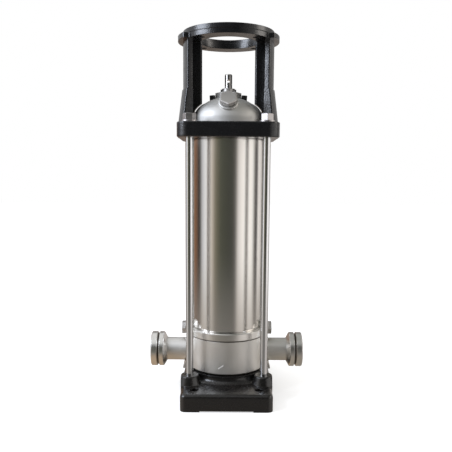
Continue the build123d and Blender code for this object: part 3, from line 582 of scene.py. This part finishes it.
# Painted highlight: the scratch's colour is near-white f4f2ee and barely metallic, so it reads bright from
# any side.
tree.links.new(blend_colours(tree, scratch_and_painted_highlight, skin, colour("f4f2ee")), shader.inputs["Base Color"])
tree.links.new(blend_values(tree, scratch_and_painted_highlight, 1.0, scratch_metallic), shader.inputs["Metallic"])
tree.links.new(relief(tree, scratch_and_painted_highlight, skin_normal, -scratch_depth), shader.inputs["Normal"])
print("scratch length in mm:", scratch_length)

# %% [markdown]
# The dome is drawn from sheet and then blasted and brushed by hand, so it is finer than the casting, with a
# faint silky grain. It lies open to the ceiling and shows it as one soft, bright sheet.

# %% Satin stainless dome
satin, tree, shader, point, edge = start_finish("satin_drawn_stainless", "dad9d6", 1.0, 0.65, round_edge=0.6)
silk_size, silk_depth = 1.1, 0.012
hand_size = 12.0
tree.links.new(vary(tree, grain(tree, point, hand_size), 0.6, 0.7), shader.inputs["Roughness"])
tree.links.new(relief(tree, grain(tree, point, silk_size), edge, silk_depth), shader.inputs["Normal"])
dress(satin, "pump_head")
print("satin:", nodes["pump_head"].name)

# %% [markdown]
# The sleeve is rolled stainless tube, polished on a belt. The belt's lines run around the tube, about a
# third of a millimetre apart. They stretch every reflection up and down and keep it sharp from side to
# side, which is why the room shows as clean vertical stripes. Near the top the belt has turned back and
# left one duller ring.

# %% Polished stainless tube
polished, tree, shader, point, edge = start_finish("belt_polished_stainless_tube", "e2dfda", 1.0, 0.17,
                                                   round_edge=0.3)
belt_lines = (50.0, 50.0, 0.35)
belt_depth = 0.006
belt_turn = 417.5
ring_inner, ring_outer = 0.4, 1.6
sleeve_height = add(tree, "ShaderNodeSeparateXYZ", {"Vector": point}).outputs["Z"]
from_turn = sum_up(tree, "ABSOLUTE", sum_up(tree, "SUBTRACT", sleeve_height, belt_turn))
tree.links.new(remap(tree, from_turn, ring_inner, ring_outer, 0.3, 0.17), shader.inputs["Roughness"])
shader.inputs["Anisotropic"].default_value = 0.7
tree.links.new(add(tree, "ShaderNodeTangent", direction_type="RADIAL", axis="Z").outputs[0],
               shader.inputs["Tangent"])
tree.links.new(relief(tree, lines(tree, point, belt_lines, 4.0), edge, belt_depth), shader.inputs["Normal"])
dress(polished, "outer_sleeve")
print("polished:", nodes["outer_sleeve"].name)

# %% [markdown]
# The stay bolts are cold-drawn steel with bright zinc: smooth, slightly bluish, with the room in thin sharp
# lines along each rod.

# %% Bright zinc on the stay bolts
zinc, tree, shader, point, edge = start_finish("bright_zinc_on_steel", "dfdfe0", 1.0, 0.16, round_edge=0.5)
film_size = 5.0
ripple_size, ripple_depth = 1.6, 0.006
tree.links.new(vary(tree, grain(tree, point, film_size), 0.1, 0.2), shader.inputs["Roughness"])
tree.links.new(relief(tree, grain(tree, point, ripple_size), edge, ripple_depth), shader.inputs["Normal"])
dress(zinc, "stay_bolts")
print("bright zinc on:", nodes["stay_bolts"].name)

# %% [markdown]
# The nuts and washers are forged and punched, then plated in a barrel, where they rub against each other.
# Their zinc is duller than on the drawn rods, so a flat shows one soft grey instead of a mirror image.

# %% Barrel-plated nuts
barrel_zinc, tree, shader, point, edge = start_finish("barrel_plated_zinc_on_steel", "bdb9b8", 1.0, 0.34,
                                                      round_edge=0.6)
rub_size = 4.0
dent_size, dent_depth = 1.2, 0.015
tree.links.new(vary(tree, grain(tree, point, rub_size), 0.3, 0.42), shader.inputs["Roughness"])
tree.links.new(relief(tree, grain(tree, point, dent_size), edge, dent_depth), shader.inputs["Normal"])
dress(barrel_zinc, "stay_nuts", "stay_washers")
print("dull zinc on the nuts and washers")

# %% [markdown]
# Small stainless pieces are cut from bar, so their flats show a straight, very fine milling grain. They are
# then tumbled to take off the burrs, which leaves a faint speckle of dents about a millimetre apart.

# %% Machined stainless bar
machined, tree, shader, point, edge = start_finish("machined_stainless_bar", "d3d0cd", 1.0, 0.42,
                                                   round_edge=0.5)
mill_lines = (0.3, 6.0, 6.0)
mill_depth = 0.012
speckle_size, speckle_depth = 1.3, 0.05
milled = relief(tree, lines(tree, point, mill_lines, 2.0), edge, mill_depth)
speckle = grain(tree, point, speckle_size)
tree.links.new(vary(tree, speckle, 0.36, 0.54), shader.inputs["Roughness"])
tree.links.new(relief(tree, speckle, milled, speckle_depth), shader.inputs["Normal"])
dress(machined, "vent_plug", "gauge_plugs", "drive_collar", "shaft_nut", "shaft_washer", "clamp_ring")
print("machined finish on the small stainless pieces")

# %% [markdown]
# The seal's housing is a lost-wax casting, tumbled in stones until it is pale and even. It takes the soft
# light from all round, which lifts it out of the dark between the legs.

# %% Tumbled seal housing
tumbled, tree, shader, point, edge = start_finish("tumbled_lost_wax_stainless", "ecebe8", 1.0, 0.66,
                                                  round_edge=0.7)
stone_size = 3.0
pit_size, pit_depth = 0.6, 0.02
tree.links.new(vary(tree, grain(tree, point, stone_size), 0.62, 0.76), shader.inputs["Roughness"])
tree.links.new(relief(tree, grain(tree, point, pit_size), edge, pit_depth), shader.inputs["Normal"])
dress(tumbled, "seal_housing")
print("tumbled:", nodes["seal_housing"].name)

# %% [markdown]
# The shaft is centreless ground, the smoothest finish on the pump: fine rings around it, hardly visible.

# %% Ground stainless shaft
ground_shaft, tree, shader, point, edge = start_finish("ground_stainless_shaft", "d9d7d4", 1.0, 0.22,
                                                       round_edge=0.3)
wheel_lines = (10.0, 10.0, 0.2)
wheel_depth = 0.004
tree.links.new(relief(tree, lines(tree, point, wheel_lines, 2.0), edge, wheel_depth), shader.inputs["Normal"])
dress(ground_shaft, "shaft", "shaft_spacers")
print("ground finish on the shaft")

# %% [markdown]
# Chambers, impellers and the parts at the two ends of the stack are pressed from stainless sheet. The skin
# of the rolled sheet stays, with the slight orange peel that stretching in the press gives it.

# %% Pressed stainless sheet
pressed, tree, shader, point, edge = start_finish("pressed_stainless_sheet", "d0cdc8", 1.0, 0.28)
peel_size, peel_depth = 2.5, 0.01
tree.links.new(relief(tree, grain(tree, point, peel_size), edge, peel_depth), shader.inputs["Normal"])
stack = [name for name in nodes if name.startswith(("chamber_", "impeller_"))]
dress(pressed, *stack, "inlet_part", "outlet_part", "tension_straps")
print("pressed sheet on", len(stack), "stack parts and 3 more")

# %% [markdown]
# The two screws on the dome and the set screws of the collar are blackened in a hot bath: a thin dark skin
# over machined steel, a little oily, with soft highlights.

# %% Black oxide screws
black_steel, tree, shader, point, edge = start_finish("black_oxide_steel", "141416", 0.0, 0.36,
                                                      round_edge=0.4)
oxide_size, oxide_depth = 0.8, 0.01
tree.links.new(relief(tree, grain(tree, point, oxide_size), edge, oxide_depth), shader.inputs["Normal"])
dress(black_steel, "cap_screws", "drive_screws")
print("black oxide on the screws")

# %% [markdown]
# The seal rings and the bellows are moulded rubber, matt and almost black, with the faint bloom of the
# mould.

# %% Moulded rubber
rubber, tree, shader, point, edge = start_finish("moulded_nitrile_rubber", "1a1a1b", 0.0, 0.7)
bloom_size, bloom_depth = 0.4, 0.02
tree.links.new(relief(tree, grain(tree, point, bloom_size), edge, bloom_depth), shader.inputs["Normal"])
dress(rubber, "base_oring", "head_oring", "vent_plug_seal", "seal_bellows")
print("rubber on the seals")

# %% [markdown]
# Bearings, journals and the two faces of the shaft seal are tungsten carbide, lapped until they are dark
# mirrors. Only a slight unevenness of the lapping shows.

# %% Lapped carbide
carbide, tree, shader, point, edge = start_finish("lapped_tungsten_carbide", "4c4c4e", 1.0, 0.15)
lap_size = 1.5
tree.links.new(remap(tree, grain(tree, point, lap_size), 0.0, 1.0, 0.1, 0.22), shader.inputs["Roughness"])
dress(carbide, "lower_journal", "upper_journal", "lower_bearing", "upper_bearing", "seal_seat", "seal_ring")
undressed = [name for name in nodes if not nodes[name].data.materials]
print("pieces without a finish:", undressed)
